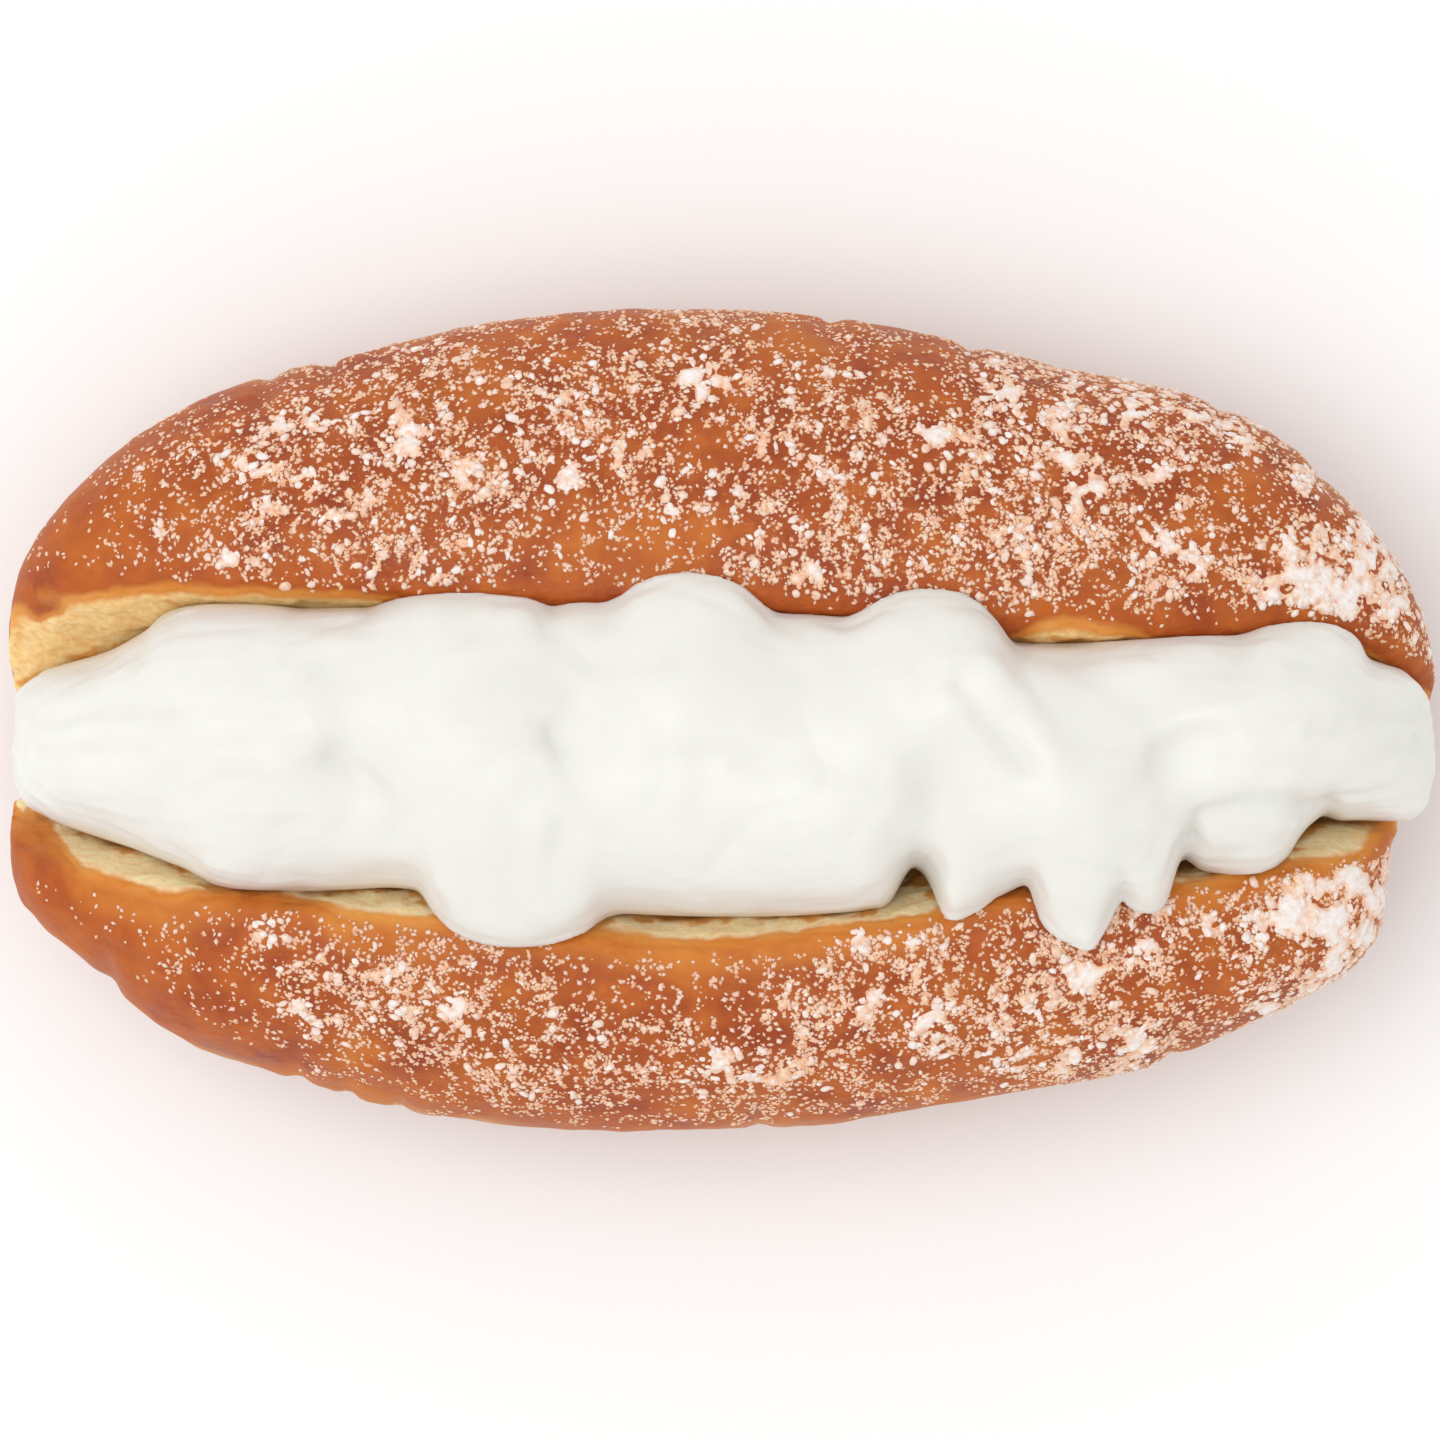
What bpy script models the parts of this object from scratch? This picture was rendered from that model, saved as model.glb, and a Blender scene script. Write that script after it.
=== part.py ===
"""A finger doughnut, slit along its top and opened, with whipped cream piped into the slit.

Metres, +Z up. +X runs along the doughnut, and the doughnut rests on the flat spot under it at z = 0.
"""

import math

import bmesh
import bpy
from mathutils import Matrix, Vector, noise

MM = 0.001

# Driving dimensions of the fried dough
LENGTH = 150.0 * MM
WIDTH = 86.0 * MM
DOUGH_TOP = 46.0 * MM
WAIST_Z = 20.0 * MM
SAG_UNDER_FLOOR = 2.2 * MM
END_LIFT = 2.5 * MM
END_LIFT_POWER = 6
# The near half is shorter at its right end
SKEW_RIGHT_END = 4.6 * MM
SKEW_POWER = 4
SKEW_FROM_Y = -4 * MM
SKEW_TO_Y = 22 * MM
# Where the plan departs from an even oval: centre X and Y, half length, half width, push along X and Y
PLAN_PUSHES = (
    (62 * MM, -24.5 * MM, 16 * MM, 8.5 * MM, 5.4 * MM, -0.3 * MM),
    (-71 * MM, -18.5 * MM, 9 * MM, 6.5 * MM, -2.3 * MM, 0.0 * MM),
    (33 * MM, 38 * MM, 15 * MM, 25 * MM, 0.0 * MM, -1.9 * MM),
    (-33 * MM, 40 * MM, 16 * MM, 20 * MM, 0.0 * MM, -0.7 * MM),
    (24 * MM, -40 * MM, 22 * MM, 20 * MM, 0.0 * MM, 0.9 * MM),
    (-71 * MM, 17 * MM, 8 * MM, 7 * MM, -0.9 * MM, 0.0 * MM),
    (-56 * MM, -36 * MM, 6.5 * MM, 12 * MM, 0.0 * MM, -1.3 * MM),
)
PLAN_POWER_LEFT = 2.5
PLAN_POWER_RIGHT = 2.25
SIDE_POWER = 2.5
SECTION_POWER = 2.3
DOUGH_SEGMENTS = 64
DOUGH_RINGS = 42
# Uneven puffing of the dough, as (depth, size of its hills)
BROAD_DENTS = (0.9 * MM, 26 * MM)
SMALL_DENTS = (0.45 * MM, 9 * MM)
END_PUFFING = 0.35

# The slit, which passes through both ends and leaves a hinge of dough under it
# Each side is a smooth curve through a few places on the crust, as (x, y)
SLIT_FAR_SIDE = (
    (-75 * MM, 12.0 * MM),
    (-54 * MM, 13.2 * MM),
    (-20 * MM, 12.0 * MM),
    (8 * MM, 11.0 * MM),
    (34 * MM, 8.7 * MM),
    (50 * MM, 8.4 * MM),
    (62 * MM, 9.4 * MM),
    (75 * MM, 4.4 * MM),
)
SLIT_NEAR_SIDE = (
    (-75 * MM, -13.0 * MM),
    (-53 * MM, -18.1 * MM),
    (-33 * MM, -20.0 * MM),
    (-2 * MM, -22.7 * MM),
    (18 * MM, -20.3 * MM),
    (31 * MM, -17.8 * MM),
    (47 * MM, -17.2 * MM),
    (59 * MM, -15.2 * MM),
    (75 * MM, -12.4 * MM),
)
SLIT_BOTTOM_Y = -3.5 * MM
SLIT_BOTTOM_Z = 10.0 * MM
SLIT_BOTTOM_END_Z = 16.0 * MM
SLIT_BOTTOM_POWER = 5
SLIT_BOTTOM_WIDTH = 3.0 * MM
SLIT_FACE_POWER = 0.75
SLIT_LEAST_DEPTH = 12.0 * MM
SLIT_LID_Z = 74.0 * MM
SLIT_BEYOND_ENDS = 1.12
SLIT_BEYOND_CRUST = 1.35
SLIT_STATIONS = 46
SLIT_LEVELS = 8
TORN_DENTS = (0.3 * MM, 8 * MM)
LIP_DROP = 2.2 * MM
LIP_REACH = 8.0 * MM

# The cream, seen from above, before its lobes
CREAM_LEFT_END = -73.6 * MM
CREAM_RIGHT_END = 74.3 * MM
CREAM_FAR_SIDE = (
    (-75 * MM, 4.6 * MM),
    (-64 * MM, 6.8 * MM),
    (-57 * MM, 10.0 * MM),
    (-39 * MM, 11.3 * MM),
    (10 * MM, 10.5 * MM),
    (31 * MM, 7.7 * MM),
    (56 * MM, 8.3 * MM),
    (75 * MM, 4.2 * MM),
)
CREAM_NEAR_SIDE = (
    (-75 * MM, -9.0 * MM),
    (-62 * MM, -12.8 * MM),
    (-50 * MM, -16.6 * MM),
    (-36 * MM, -16.8 * MM),
    (-12 * MM, -19.6 * MM),
    (14 * MM, -19.4 * MM),
    (21 * MM, -16.0 * MM),
    (30 * MM, -17.4 * MM),
    (46 * MM, -15.2 * MM),
    (64 * MM, -10.4 * MM),
    (75 * MM, -11.2 * MM),
)
# Lobes that lap over the crust: centre along X, how far across they reach, half length
FAR_LOBES = (
    (-51.1 * MM, 11.8 * MM, 7.4 * MM),
    (-26.3 * MM, 12.8 * MM, 9.0 * MM),
    (-13.7 * MM, 11.8 * MM, 3.6 * MM),
    (-3.2 * MM, 15.0 * MM, 7.6 * MM),
    (21.5 * MM, 13.4 * MM, 7.4 * MM),
    (60.5 * MM, 10.0 * MM, 6.4 * MM),
)
NEAR_LOBES = (
    (-43.9 * MM, -17.4 * MM, 10.0 * MM),
    (-21.0 * MM, -23.2 * MM, 9.2 * MM),
    (24.8 * MM, -19.8 * MM, 3.6 * MM),
    (36.4 * MM, -22.9 * MM, 4.8 * MM),
    (42.9 * MM, -19.8 * MM, 3.4 * MM),
    (53.6 * MM, -15.8 * MM, 6.4 * MM),
)
LOBE_ROUNDNESS = 0.6
LOBE_FADE = 5

# The cream, seen from its end
CREAM_GAP = 0.35 * MM
CREAM_ABOVE_CRUST = 8.6 * MM
CREAM_SINK = 3.0 * MM
CREAM_FOOT_LIFT = 16.0 * MM
CREAM_FOOT_LIFT_POWER = 16
CREAM_EDGE_SINK = 0.9 * MM
CREAM_TOP_POWER = 2.5
CREAM_FOOT_POWER = 6.0
CREAM_END_POWER = 26
CREAM_END_ROUNDNESS = 0.32
CREAM_END_CROWDING = 0.35
CREAM_STATIONS = 100
CREAM_SEGMENTS = 36
CREAM_RIPPLES = (0.5 * MM, 9 * MM)
# Swells and hollows of its top: centre X and Y, half length, half width, height
CREAM_SWELLS = (
    (-57.5 * MM, -1.5 * MM, 8.0 * MM, 6.5 * MM, 1.2 * MM),
    (-46.0 * MM, -2.0 * MM, 7.0 * MM, 8.0 * MM, 2.0 * MM),
    (-37.5 * MM, -6.0 * MM, 4.0 * MM, 7.0 * MM, -2.0 * MM),
    (-25.0 * MM, -5.0 * MM, 9.0 * MM, 9.0 * MM, 2.6 * MM),
    (-14.0 * MM, -1.0 * MM, 3.2 * MM, 8.0 * MM, -1.8 * MM),
    (-3.5 * MM, 3.0 * MM, 8.0 * MM, 8.0 * MM, 2.6 * MM),
    (11.5 * MM, -9.0 * MM, 9.0 * MM, 7.0 * MM, 2.2 * MM),
    (24.0 * MM, 4.0 * MM, 7.0 * MM, 7.0 * MM, 3.2 * MM),
    (22.0 * MM, -6.0 * MM, 3.0 * MM, 5.0 * MM, -2.0 * MM),
    (36.0 * MM, -9.0 * MM, 7.0 * MM, 8.0 * MM, 2.4 * MM),
    (46.0 * MM, -4.0 * MM, 3.5 * MM, 8.0 * MM, -1.6 * MM),
    (53.0 * MM, 0.0 * MM, 8.0 * MM, 6.0 * MM, 1.8 * MM),
    (63.0 * MM, -2.0 * MM, 6.0 * MM, 6.0 * MM, 1.6 * MM),
)

HALF = LENGTH / 2


def smooth_step(value, low, high):
    """0 below low, 1 above high, and an even S between them."""
    share = min(max((value - low) / (high - low), 0.0), 1.0)
    return share * share * (3 - 2 * share)


def signed_power(value, power):
    return math.copysign(abs(value) ** power, value)


def smooth_curve(points, x):
    """The height at x of a smooth curve through points that run along X."""
    place = next((i for i, point in enumerate(points) if x < point[0]), len(points) - 1)
    place = max(place, 1)
    (x0, y0), (x1, y1) = points[place - 1], points[place]
    before = points[max(place - 2, 0)]
    after = points[min(place + 1, len(points) - 1)]
    slope_0 = (y1 - before[1]) / (x1 - before[0])
    slope_1 = (after[1] - y0) / (after[0] - x0)
    span = x1 - x0
    t = min(max((x - x0) / span, 0.0), 1.0)
    rise = y0 * (2 * t**3 - 3 * t**2 + 1) + y1 * (3 * t**2 - 2 * t**3)
    return rise + span * (slope_0 * (t**3 - 2 * t**2 + t) + slope_1 * (t**3 - t**2))


def slit_edge(x, far):
    """Where the crust ends beside the slit, on its far (+Y) or near (-Y) side."""
    return smooth_curve(SLIT_FAR_SIDE if far else SLIT_NEAR_SIDE, x)


def slit_bottom(x):
    """(y, z) of the bottom of the slit."""
    ends = min(abs(x) / HALF, 1.0) ** SLIT_BOTTOM_POWER
    return SLIT_BOTTOM_Y, SLIT_BOTTOM_Z + (SLIT_BOTTOM_END_Z - SLIT_BOTTOM_Z) * ends


def plan_power(x):
    return PLAN_POWER_LEFT if x < 0 else PLAN_POWER_RIGHT


def crust_height(x, y):
    """How high the crust lies at (x, y), before its unevenness."""
    power = plan_power(x)
    along = min(abs(x) / HALF, 1.0) ** (power / 2)
    across = math.sqrt(1 - along * along)
    half_width = max(WIDTH / 2 * across ** (2 / power), 1 * MM)
    sideways = min(abs(y) / half_width, 1.0)
    section = (1 - sideways**SECTION_POWER) ** (1 / SECTION_POWER)
    rise = (DOUGH_TOP - WAIST_Z) * across ** (2 / SIDE_POWER) * section
    return WAIST_Z + END_LIFT * along**END_LIFT_POWER + rise - lip_drop(x, y) * section


def lip_drop(x, y):
    """How far the crust curls down beside the slit."""
    beyond = max(y - slit_edge(x, True), slit_edge(x, False) - y, 0.0)
    return LIP_DROP * max(0.0, 1 - beyond / LIP_REACH) ** 2


def dents(point, depth_and_size, seed):
    """Unevenness at the point: soft hills and hollows of the given depth and size."""
    depth, size = depth_and_size
    return depth * noise.noise(point / size + Vector((seed, 1.7 * seed, 0.4 * seed)))


def plan_push(x, y):
    """How far the plan is pushed along X and along Y at (x, y)."""
    push = Vector((0, 0, 0))
    for centre_x, centre_y, half_length, half_width, push_x, push_y in PLAN_PUSHES:
        away = ((x - centre_x) / half_length) ** 2 + ((y - centre_y) / half_width) ** 2
        push += Vector((push_x, push_y, 0)) * math.exp(-away)
    return push


def dough_point(unit):
    """Where a point of the unit sphere, with its poles on X, lies on the uncut doughnut."""
    along = max(-1.0, min(1.0, unit.x))
    across = math.sqrt(max(0.0, 1 - along * along))
    turn_y, turn_z = (unit.y / across, unit.z / across) if across > 1e-6 else (0.0, 0.0)
    power = plan_power(along)
    x = HALF * signed_power(along, 2 / power)
    half_width = WIDTH / 2 * across ** (2 / power)
    y = half_width * signed_power(turn_y, 2 / SECTION_POWER)
    height = DOUGH_TOP - WAIST_Z if turn_z > 0 else WAIST_Z + SAG_UNDER_FLOOR
    rise = height * across ** (2 / SIDE_POWER) * signed_power(turn_z, 2 / SECTION_POWER)
    z = WAIST_Z + END_LIFT * abs(along) ** END_LIFT_POWER + rise
    if along > 0:
        x -= SKEW_RIGHT_END * along**SKEW_POWER * smooth_step(-y, SKEW_FROM_Y, SKEW_TO_Y)
    if turn_z > 0:
        z -= lip_drop(x, y) * turn_z
    spot = Vector((x, y, z)) + plan_push(x, y)
    outward = Vector((END_PUFFING * along, turn_y, turn_z))
    spot += outward * (dents(spot, BROAD_DENTS, 3.0) + dents(spot, SMALL_DENTS, 8.0))
    spot.z = max(spot.z, 0.0)
    return spot


def link_mesh(name, bm, collection, material=None):
    """A new object from the bmesh, shaded smooth, in the collection."""
    bmesh.ops.recalc_face_normals(bm, faces=bm.faces)
    mesh = bpy.data.meshes.new(name)
    bm.to_mesh(mesh)
    bm.free()
    mesh.shade_smooth()
    obj = bpy.data.objects.new(name, mesh)
    if material:
        mesh.materials.append(material)
    collection.objects.link(obj)
    return obj


def make_material(name, colour, roughness):
    material = bpy.data.materials.new(name)
    material.use_nodes = True
    shader = material.node_tree.nodes["Principled BSDF"]
    shader.inputs["Base Color"].default_value = (*colour, 1.0)
    shader.inputs["Roughness"].default_value = roughness
    shader.inputs["Metallic"].default_value = 0.0
    return material


def as_helper(obj):
    """Marks a cutter or guide, which is no part of the doughnut."""
    obj.hide_render = True
    obj.display_type = "WIRE"
    return obj


def unit_sphere(segments, rings):
    """A sphere of radius 1 whose poles lie on X."""
    bm = bmesh.new()
    turn = Matrix.Rotation(math.radians(90), 4, "Y")
    bmesh.ops.create_uvsphere(bm, u_segments=segments, v_segments=rings, radius=1, matrix=turn)
    return bm


def slit_wall_point(x, level, far):
    """(y, z) on a wall of the slit, at level 0 beside its bottom and 1 at the crust."""
    side = 1 if far else -1
    bottom_y, bottom_z = slit_bottom(x)
    bottom_y += side * SLIT_BOTTOM_WIDTH / 2
    edge_y = slit_edge(x, far)
    crest = max(crust_height(x, edge_y), bottom_z + SLIT_LEAST_DEPTH)
    y = bottom_y + (edge_y - bottom_y) * level**SLIT_FACE_POWER
    return y, bottom_z + (crest - bottom_z) * level


def make_slit_cutter(collection):
    """The wedge of space that opening the slit leaves, from above the crust down to the hinge."""
    bm = bmesh.new()
    bmesh.ops.create_grid(bm, x_segments=SLIT_STATIONS, y_segments=2 * SLIT_LEVELS, size=1)
    shape = bmesh.ops.extrude_face_region(bm, geom=bm.faces[:])
    lid = {v for v in shape["geom"] if isinstance(v, bmesh.types.BMVert)}
    for vertex in bm.verts:
        x = vertex.co.x * HALF * SLIT_BEYOND_ENDS
        step = abs(vertex.co.y) * SLIT_LEVELS
        level = max(0.0, (step - 1) / (SLIT_LEVELS - 1)) * SLIT_BEYOND_CRUST
        y, z = slit_wall_point(x, level, vertex.co.y > 0)
        if step < 1:
            y = slit_bottom(x)[0] + math.copysign(step, vertex.co.y) * SLIT_BOTTOM_WIDTH / 2
        if vertex in lid:
            z = SLIT_LID_Z
        else:
            y += dents(Vector((x, y, z)), TORN_DENTS, 5.0)
        vertex.co = Vector((x, y, z))
    return as_helper(link_mesh("slit_cutter", bm, collection))


def make_dough(collection, helpers, material):
    bm = unit_sphere(DOUGH_SEGMENTS, DOUGH_RINGS)
    for vertex in bm.verts:
        vertex.co = dough_point(vertex.co)
    dough = link_mesh("doughnut", bm, collection, material)
    cut = dough.modifiers.new("slit", "BOOLEAN")
    cut.operation = "DIFFERENCE"
    cut.object = make_slit_cutter(helpers)
    return dough


def dough_surface(x, y, far):
    """How high the dough lies at (x, y): a wall of the slit, or the crust beyond it."""
    bottom_y = slit_wall_point(x, 0, far)[0]
    share = (y - bottom_y) / (slit_edge(x, far) - bottom_y)
    if share >= 1:
        return crust_height(x, y)
    return slit_wall_point(x, max(share, 0.0) ** (1 / SLIT_FACE_POWER), far)[1]


def cream_side(x, far):
    """How far across the body of the cream reaches at x, and how much further its lobes do."""
    base = smooth_curve(CREAM_FAR_SIDE if far else CREAM_NEAR_SIDE, x)
    lobe = 0.0
    for centre, tip, half_length in FAR_LOBES if far else NEAR_LOBES:
        fullness = max(0.0, 1 - ((x - centre) / half_length) ** 2) ** LOBE_ROUNDNESS
        beyond = (tip - base) * fullness
        lobe = max(lobe, beyond) if far else min(lobe, beyond)
    return base, lobe


def swells(x, y):
    """How much the top of the cream rises or sinks at (x, y)."""
    height = dents(Vector((x, y, 0)), CREAM_RIPPLES, 21.0)
    for centre_x, centre_y, half_length, half_width, rise in CREAM_SWELLS:
        away = ((x - centre_x) / half_length) ** 2 + ((y - centre_y) / half_width) ** 2
        height += rise * math.exp(-away)
    return height


def crowded_upwards(turn):
    """Turns an angle about X so that two thirds of a ring's points lie on its upper half."""
    from_top = math.remainder(turn - math.pi / 2, 2 * math.pi)
    size = abs(from_top)
    limit = 2 * math.pi / 3
    size = 0.75 * size if size < limit else math.pi / 2 + 1.5 * (size - limit)
    return math.pi / 2 + math.copysign(size, from_top)


def cream_point(unit):
    """Where a point of the unit sphere, with its poles on X, lies on the uncut cream."""
    along = 1 - 2 * math.acos(max(-1.0, min(1.0, unit.x))) / math.pi
    middle = (CREAM_LEFT_END + CREAM_RIGHT_END) / 2
    spread = along + CREAM_END_CROWDING * (math.sin(along * math.pi / 2) - along)
    x = middle + (CREAM_RIGHT_END - CREAM_LEFT_END) / 2 * spread
    fullness = (1 - abs(along) ** CREAM_END_POWER) ** CREAM_END_ROUNDNESS
    turn = crowded_upwards(math.atan2(unit.z, unit.y))
    power = CREAM_TOP_POWER if math.sin(turn) > 0 else CREAM_FOOT_POWER
    aside = signed_power(math.cos(turn), 2 / power)
    rise = fullness * abs(math.sin(turn)) ** (2 / power)
    far_y, far_lobe = cream_side(x, True)
    near_y, near_lobe = cream_side(x, False)
    y = (far_y + near_y) / 2 + (far_y - near_y) / 2 * aside * fullness
    y += (far_lobe if aside > 0 else near_lobe) * abs(aside) ** LOBE_FADE * fullness
    far_z = dough_surface(x, far_y + far_lobe, True) - CREAM_EDGE_SINK
    near_z = dough_surface(x, near_y + near_lobe, False) - CREAM_EDGE_SINK
    edge_z = near_z + (far_z - near_z) * (1 + aside) / 2
    if math.sin(turn) > 0:
        top = crust_height(x, 0) + LIP_DROP + CREAM_ABOVE_CRUST
        return Vector((x, y, edge_z + (top - edge_z + swells(x, y)) * rise))
    bottom = slit_bottom(x)[1] - CREAM_SINK
    bottom += CREAM_FOOT_LIFT * (abs(x) / HALF) ** CREAM_FOOT_LIFT_POWER
    return Vector((x, y, edge_z + (bottom - edge_z) * rise))


def make_cream(dough, collection, helpers, material):
    bm = unit_sphere(CREAM_SEGMENTS, CREAM_STATIONS)
    for vertex in bm.verts:
        vertex.co = cream_point(vertex.co)
    cream = link_mesh("cream", bm, collection, material)
    room = as_helper(evaluated_copy(dough, "dough_and_gap", helpers))
    gap = room.modifiers.new("gap", "DISPLACE")
    gap.strength = CREAM_GAP
    gap.mid_level = 0.0
    cut = cream.modifiers.new("dough", "BOOLEAN")
    cut.operation = "DIFFERENCE"
    cut.object = room
    return cream


def evaluated_copy(obj, name, collection):
    """A plain mesh of the object with its modifiers, as a new object."""
    bpy.context.view_layer.update()
    graph = bpy.context.evaluated_depsgraph_get()
    mesh = bpy.data.meshes.new_from_object(obj.evaluated_get(graph))
    copy = bpy.data.objects.new(name, mesh)
    collection.objects.link(copy)
    return copy


def main():
    for obj in list(bpy.data.objects):
        bpy.data.objects.remove(obj, do_unlink=True)
    doughnut = bpy.data.collections.new("cream_doughnut")
    helpers = bpy.data.collections.new("cutters")
    for collection in (doughnut, helpers):
        bpy.context.scene.collection.children.link(collection)
    crust = make_material("fried_crust", (0.50, 0.17, 0.045), 0.55)
    whipped = make_material("whipped_cream", (0.88, 0.87, 0.83), 0.45)
    dough = make_dough(doughnut, helpers, crust)
    make_cream(dough, doughnut, helpers, whipped)


main()
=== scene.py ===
"""The looks of a cream-filled doughnut: fried crust, torn crumb, whipped cream and icing sugar.

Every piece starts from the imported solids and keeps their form. Metres, +Z up, +X along the doughnut.
"""

import itertools

import bmesh
import bpy
import numpy as np
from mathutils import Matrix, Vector
from mathutils.bvhtree import BVHTree
from mathutils.kdtree import KDTree


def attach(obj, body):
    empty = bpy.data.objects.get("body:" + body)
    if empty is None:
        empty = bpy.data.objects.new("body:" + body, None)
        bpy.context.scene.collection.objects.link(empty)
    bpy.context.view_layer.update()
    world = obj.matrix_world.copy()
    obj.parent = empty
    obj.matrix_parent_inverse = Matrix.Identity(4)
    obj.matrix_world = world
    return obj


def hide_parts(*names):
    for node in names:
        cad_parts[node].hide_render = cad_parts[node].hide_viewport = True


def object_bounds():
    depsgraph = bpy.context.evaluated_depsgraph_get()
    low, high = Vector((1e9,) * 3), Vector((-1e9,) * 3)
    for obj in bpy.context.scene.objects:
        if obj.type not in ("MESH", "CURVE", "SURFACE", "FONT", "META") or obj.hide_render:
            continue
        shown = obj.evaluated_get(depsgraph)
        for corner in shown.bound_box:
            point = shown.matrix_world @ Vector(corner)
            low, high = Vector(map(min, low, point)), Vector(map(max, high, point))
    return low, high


MM = 0.001

# The slit's sides on the crust, as the solids have them: (x, y) in millimetres
SLIT_FAR_SIDE = ((-75, 12.0), (-54, 13.2), (-20, 12.0), (8, 11.0), (34, 8.7), (50, 8.4), (62, 9.4), (75, 4.4))
SLIT_NEAR_SIDE = (
    (-75, -13.0), (-53, -18.1), (-33, -20.0), (-2, -22.7), (18, -20.3),
    (31, -17.8), (47, -17.2), (59, -15.2), (75, -12.4),
)
# How far down into the slit the brown reaches at each x, both in millimetres: less than 0 where crumb
# reaches up over the slit's edge
FAR_BROWNING = (
    (-75, 0.6), (-72, -0.4), (-56, -0.6), (-50, -0.3), (-40, 0.0), (-34, 0.9), (-28, 1.8), (30, 1.8),
    (33, -2.0), (38, -1.8), (42, -0.8), (46, 0.8), (52, 1.7), (70, 1.8), (75, 3.0),
)
NEAR_BROWNING = (
    (-75, 5.0), (-69, 4.0), (-66.5, -0.8), (-56, -1.2), (-53, 0.5), (-49, 2.2),
    (-42, 2.2), (-39, -1.0), (-30, -1.0), (-24, 0.8), (-13, 0.8), (-6, -0.3),
    (10, 0.0), (17, -0.5), (22, -0.5), (26, 1.5), (44, 1.5), (48, -0.2),
    (55, 0.3), (60, 1.0), (62.5, -0.6), (66.5, -0.5), (69, 2.2), (75, 3.0),
)
# The slit's bottom and walls, as the solids have them
SLIT_BOTTOM_Y = -3.5 * MM
SLIT_BOTTOM_Z = 10.0 * MM
SLIT_BOTTOM_END_Z = 16.0 * MM
SLIT_BOTTOM_POWER = 5
SLIT_BOTTOM_WIDTH = 3.0 * MM
SLIT_FACE_POWER = 0.75
HALF_LENGTH = 75.0 * MM
# Points this far under the slit's bottom or inside its walls still count as its walls
BELOW_SLIT = 0.6 * MM
BEHIND_WALL = 0.5 * MM
# Where along X the slit's edge is worked out, in millimetres: first, last and step
EDGE_STATIONS = (-74.5, 74.6, 0.4)

# The paler ring round the waist, which stood out of the frying fat: its height and half width
WAIST_Z = 19.0 * MM
WAIST_HALF_WIDTH = 4.2 * MM

CRUST_VOXEL = 0.75 * MM
CREAM_VOXEL = 0.55 * MM
# Islands of fewer faces than these are scraps
LEAST_SOLID_FACES = 1000
LEAST_COAT_FACES = 8

# Creases (less than 0 high) and ridges on top of the cream, in millimetres: height, half width, run as (x, y)
CREAM_FOLDS = (
    (-1.0, 1.6, ((-39.0, -4.0), (-36.1, -6.3), (-32.7, -10.5))),
    (-0.8, 2.0, ((-39.4, 4.6), (-38.8, 4.2))),
    (-0.6, 1.6, ((-43.8, -10.1), (-43.2, -10.3))),
    (-1.0, 1.8, ((-16.2, -1.5), (-15.4, -2.2))),
    (-0.6, 1.8, ((-15.1, -11.9), (-15.0, -12.8))),
    (-0.5, 1.8, ((-12.6, 6.8), (-4.2, 7.3))),
    (-0.5, 1.8, ((-1.7, -3.4), (8.4, -3.4), (15.1, -5.9))),
    (-0.9, 1.5, ((24.3, 3.4), (27.7, -0.8), (31.1, -5.0))),
    (0.7, 1.7, ((27.7, 5.0), (30.5, 1.5), (32.7, -3.4))),
    (-0.8, 2.8, ((36.9, 6.3), (42.0, 3.4))),
    (-0.7, 2.4, ((44.5, -2.9), (51.0, -2.9))),
    (0.4, 1.2, ((42.0, -0.6), (58.0, 2.2), (73.9, 4.0))),
    (0.4, 1.3, ((50.3, -6.2), (62.0, -5.4), (73.9, -5.2))),
    (-0.5, 1.1, ((60.0, -0.6), (73.9, 0.2))),
    (-1.1, 1.1, ((48.7, -12.5), (49.3, -10.2), (53.7, -8.8), (60.4, -8.2), (62.3, -9.2))),
    (-0.7, 1.3, ((-69.0, 0.8), (-56.2, 1.6))),
    (-0.4, 1.2, ((-69.2, -2.9), (-59.8, -2.3))),
)
# Sharper corners of the cream's edge, in millimetres: centre (x, y), half length, half width, push along X, Y
CREAM_CORNERS = (
    (20.2, -17.5, 2.0, 4.0, 0.0, 1.6),
    (17.0, -19.3, 1.6, 3.0, 0.4, -0.9),
    (23.8, -19.6, 1.6, 3.0, -0.3, -0.9),
    (31.6, -18.4, 1.6, 3.0, 0.0, 0.9),
    (37.9, -22.5, 1.5, 3.0, 0.0, -1.1),
    (40.9, -18.8, 1.2, 3.0, 0.0, 1.0),
    (45.2, -19.4, 1.4, 3.0, 0.3, -0.7),
    (48.0, -15.0, 1.2, 3.0, 0.0, 1.0),
    (62.8, -10.5, 1.3, 3.0, 0.0, 0.8),
)
# Small steps in the crust's outline, where it is puckered: (x, y) in millimetres
PUCKERS = (
    (-40.9, 37.8), (-47.2, 36.2), (11.5, 42.2), (26.2, 38.8), (52.4, 32.5), (62.9, 26.8),
    (-64.0, -27.8), (-44.1, -37.8), (-38.8, -39.3), (-33.6, -40.4), (4.2, -42.5), (47.2, -35.9),
)
PUCKER_DEPTH = 0.6
PUCKER_HALF_SIZE = (1.1, 5.0)

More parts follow.
